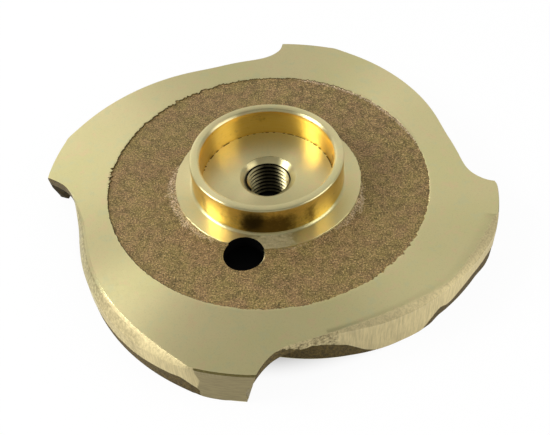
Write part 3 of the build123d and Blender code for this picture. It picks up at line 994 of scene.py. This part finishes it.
def thread_finish(colours):
    """Bright crests at the sides of the bore, darkened towards its front and back as painted shade, and roots painted
    black as shade.
    """
    graph = Graph("thread")
    place = graph.place()
    base = tuple(colours.turned)
    flat = graph.stretch(place, (1.0, 1.0, 0.0))
    radius = graph.node("ShaderNodeVectorMath", {"operation": "LENGTH"}, flat, output=1)
    across = graph.node("ShaderNodeVectorMath", {"operation": "LENGTH"}, graph.stretch(place, (1.0, 0.0, 0.0)),
                        output=1)
    # painted shade: dark where the bore faces front and back, bright at its sides
    crest_with_painted_shade = graph.mix(across.above(0.8, 4.2), shade(base, 0.14), base)
    # painted shade: the thread's roots are near black
    tint = graph.mix(radius.above(5.22, 5.45), crest_with_painted_shade, (0.01, 0.008, 0.005))
    return graph.finish(tint, 1.0, graph.noise(place, 1.2, 3.0) * 0.15 + 0.22)


def vent_painted_shade_finish(colours):
    graph = Graph("vent_painted_shade")
    # painted shade: the vent's drilled wall is near black, standing for the dark under the impeller
    place = graph.place()
    dark = graph.noise(place, 1.5, 3.0).above(0.4, 0.8)
    tint = graph.mix(dark, (0.001, 0.001, 0.001), (0.004, 0.003, 0.002))
    return graph.finish(tint, 0.0, 0.9, None, Specular_IOR_Level=0.05)


def cast_finish(colours):
    """Sand-cast skin: pitted brown, with bright grains where the tool has touched it."""
    graph = Graph("as_cast")
    place = graph.place()
    base = tuple(colours.as_cast)
    coarse = graph.noise(place, 0.22, 3.0)
    middle = graph.noise(place, 0.7, 4.0, 0.75)
    fine = graph.noise(place, 2.6, 3.0, 0.85)
    tint = graph.mix(coarse.above(0.35, 0.65), (base[0] * 1.0, base[1] * 1.14, base[2] * 0.92), (base[0] * 1.05, base[1] * 0.98, base[2] * 1.12))
    tint = graph.mix(middle.above(0.5, 0.40) * 0.9, tint, (base[0] * 0.62, base[1] * 0.64, base[2] * 0.6))
    tint = graph.mix(middle.above(0.51, 0.62) * 0.8, tint, (base[0] * 1.35, base[1] * 1.35, base[2] * 1.45))
    tint = graph.mix(fine.above(0.5, 0.38) * 0.85, tint, (base[0] * 0.2, base[1] * 0.24, base[2] * 0.24))
    tint = graph.mix(fine.above(0.55, 0.65) * 0.85, tint, (base[0] * 2.7, base[1] * 3.0, base[2] * 3.4))
    grains = graph.noise(place, 3.4, 3.0, 0.75)
    touched = graph.weight("glint", middle, 0.9)
    bright = grains.above(0.47, 0.57) * touched
    tint = graph.mix(bright * 0.85, tint, (0.88, 0.70, 0.48))
    height = graph.noise(place, 1.5, 5.0, 0.7) * 0.3 + fine * 0.12
    normal = graph.bump(height, 1.0, 0.8)
    metal = 0.50 + bright * 0.4
    rough = graph.noise(place, 3.0, 2.0) * 0.3 + 0.42 - bright * 0.2
    return graph.finish(tint, metal, rough, normal)


def shaded_skin_finish(colours):
    graph = Graph("vane_skin")
    place = graph.place()
    base = tuple(colours.cast_dark)
    sand = graph.noise(place, 1.6, 5.0, 0.7)
    # painted shade: the dark cast colour darkened further, for faces under the shroud
    tint = graph.mix(sand.above(0.35, 0.7), shade(base, 0.25), shade(base, 0.7))
    normal = graph.bump(sand, 0.25, 0.8)
    return graph.finish(tint, 0.0, sand * 0.2 + 0.6, normal, Specular_IOR_Level=0.15)


class ImpellerFinish(Operator):
    """Make the finishes: turned with its ground edges and painted shade, polished with a painted reflection, as cast,
    vane skin in painted shade, the vent wall in painted shade and the thread with painted shade
    """

    bl_idname = "impeller.finish"
    bl_label = "Finish the surfaces"

    def execute(self, context):
        colours = context.scene.impeller_colours
        for make in (
            turned_finish, polished_finish, cast_finish, shaded_skin_finish, vent_painted_shade_finish, thread_finish,
        ):
            make(colours)
        return {"FINISHED"}


# Stage

AIM = Vector((2.39, -13.41, 11.1)) * MM
VIEW_AZIMUTH = math.radians(-84.46)
VIEW_ELEVATION = math.radians(47.85)
VIEW_DISTANCE = 191.97 * MM
VIEW_ROLL = math.radians(-3.84)
LENS = 52.0


class ImpellerSetStage(Operator):
    """Lay the floor, hang the soft lights and place the camera"""

    bl_idname = "impeller.set_stage"
    bl_label = "Set the stage"

    def execute(self, context):
        scene = context.scene
        scene.view_settings.view_transform = "Standard"
        self.floor()
        self.world(scene)
        self.light("left_softbox", (-0.53, -0.03, 0.15), 0.34, 0.05)
        self.light("right_softbox", (0.48, -0.12, 0.27), 0.36, 1.1)
        self.light("high_softbox", (-0.46, -0.07, 0.36), 0.25, 2.1)
        self.light("back_softbox", (-0.33, 0.40, 0.27), 0.30, 0.22)
        self.camera(scene)
        return {"FINISHED"}

    def floor(self):
        bm = bmesh.new()
        bmesh.ops.create_grid(bm, x_segments=1, y_segments=1, size=1.5)
        mesh = bpy.data.meshes.new("floor")
        bm.to_mesh(mesh)
        bm.free()
        floor = bpy.data.objects.new("floor", mesh)
        bpy.context.scene.collection.objects.link(floor)
        graph = Graph("floor")
        spot = graph.node("ShaderNodeVectorMath", {"operation": "LENGTH"}, graph.place(), output=1)
        # painted shadow: within about 40 mm of the axis the floor is near black and gives no glow, so the underside and
        # the vent hole look dark
        outside_painted_shadow = spot.above(40.0, 52.0)
        seen = graph.node("ShaderNodeLightPath", output="Is Camera Ray")
        mirrored = graph.node("ShaderNodeLightPath", output="Is Glossy Ray")
        passed = graph.node("ShaderNodeLightPath", output="Is Transmission Ray")
        floor_tone_with_painted_shadow = graph.mix(outside_painted_shadow, (0.02, 0.02, 0.02), (0.85, 0.85, 0.85))
        diffuse = graph.node("ShaderNodeBsdfDiffuse", None, Color=floor_tone_with_painted_shadow)
        glow = graph.node("ShaderNodeEmission", None, Color=(1.0, 1.0, 1.0), Strength=1.0)
        share = (seen * 0.95 + mirrored * 0.6 + passed * 0.95) * outside_painted_shadow
        mixed = graph.node("ShaderNodeMixShader", None, share, diffuse, glow)
        graph.node("ShaderNodeOutputMaterial", None, mixed)
        mesh.materials.append(graph.material)

    def world(self, scene):
        """A white backdrop, a plain glow for the diffuse light, and a room that is darker in front."""
        world = bpy.data.worlds.new("studio")
        scene.world = world
        graph = Graph("studio", world)
        facing = graph.node("ShaderNodeTexCoord", output="Generated")
        parts = graph.node("ShaderNodeSeparateXYZ", None, facing)
        back = Value(graph, parts.socket.node.outputs[1])
        high = Value(graph, parts.socket.node.outputs[2])
        room = back.above(-0.2, 0.75) * 0.45 + 0.05
        room = room + back.above(0.45, 0.95) * 0.32 - high.above(0.75, 1.0) * 0.05
        room = room + back.above(-0.25, -0.6) * high.above(0.35, 0.6) * 0.42
        mirrored = graph.node("ShaderNodeLightPath", output="Is Glossy Ray")
        seen = graph.node("ShaderNodeLightPath", output="Is Camera Ray")
        plain = 0.66 * (1 - mirrored) * (1 - seen)
        strength = plain + mirrored * room + seen
        sky = graph.node("ShaderNodeBackground", None, Color=(1.0, 1.0, 1.0), Strength=strength)
        graph.node("ShaderNodeOutputWorld", None, sky)

    def light(self, name, place, size, power):
        data = bpy.data.lights.new(name, "AREA")
        data.shape = "SQUARE"
        data.size = size
        data.energy = power
        lamp = bpy.data.objects.new(name, data)
        lamp.location = place
        lamp.rotation_euler = (Vector((0, 0, 0.01)) - Vector(place)).to_track_quat("-Z", "Y").to_euler()
        bpy.context.scene.collection.objects.link(lamp)

    def camera(self, scene):
        data = bpy.data.cameras.new("camera")
        data.sensor_fit = "HORIZONTAL"
        data.sensor_width = 36.0
        data.lens = LENS
        data.clip_start = 0.01
        camera = bpy.data.objects.new("camera", data)
        away = Vector((
            math.cos(VIEW_ELEVATION) * math.cos(VIEW_AZIMUTH),
            math.cos(VIEW_ELEVATION) * math.sin(VIEW_AZIMUTH),
            math.sin(VIEW_ELEVATION),
        ))
        turn = (-away).to_track_quat("-Z", "Y").to_matrix().to_4x4()
        roll = Matrix.Rotation(VIEW_ROLL, 4, "Z")
        camera.matrix_world = Matrix.Translation(AIM + away * VIEW_DISTANCE) @ turn @ roll
        scene.collection.objects.link(camera)
        scene.camera = camera


class ImpellerPanel(Panel):
    """Sizes, colours and steps of the impeller"""

    bl_idname = "VIEW3D_PT_impeller"
    bl_label = "Pump impeller"
    bl_space_type = "VIEW_3D"
    bl_region_type = "UI"
    bl_category = "Impeller"

    def draw(self, context):
        layout = self.layout
        for step in STEPS:
            layout.operator(step.bl_idname)
        for group in (context.scene.impeller_sizes, context.scene.impeller_colours):
            column = layout.column(align=True)
            for name in group.__annotations__:
                column.prop(group, name)


STEPS = (
    ImpellerCastShroud, ImpellerSweepVanes, ImpellerTurnHub, ImpellerCutThread, ImpellerDrillVent,
    ImpellerFinish, ImpellerSetStage,
)
CLASSES = (ImpellerSizes, ImpellerColours) + STEPS + (ImpellerPanel,)


def register():
    for item in CLASSES:
        bpy.utils.register_class(item)
    bpy.types.Scene.impeller_sizes = PointerProperty(type=ImpellerSizes)
    bpy.types.Scene.impeller_colours = PointerProperty(type=ImpellerColours)


def unregister():
    del bpy.types.Scene.impeller_colours
    del bpy.types.Scene.impeller_sizes
    for item in reversed(CLASSES):
        bpy.utils.unregister_class(item)


def main():
    register()
    bpy.ops.impeller.cast_shroud()
    bpy.ops.impeller.sweep_vanes()
    bpy.ops.impeller.turn_hub()
    bpy.ops.impeller.cut_thread()
    bpy.ops.impeller.drill_vent()
    bpy.ops.impeller.finish()
    bpy.ops.impeller.set_stage()


if __name__ == "__main__":
    main()
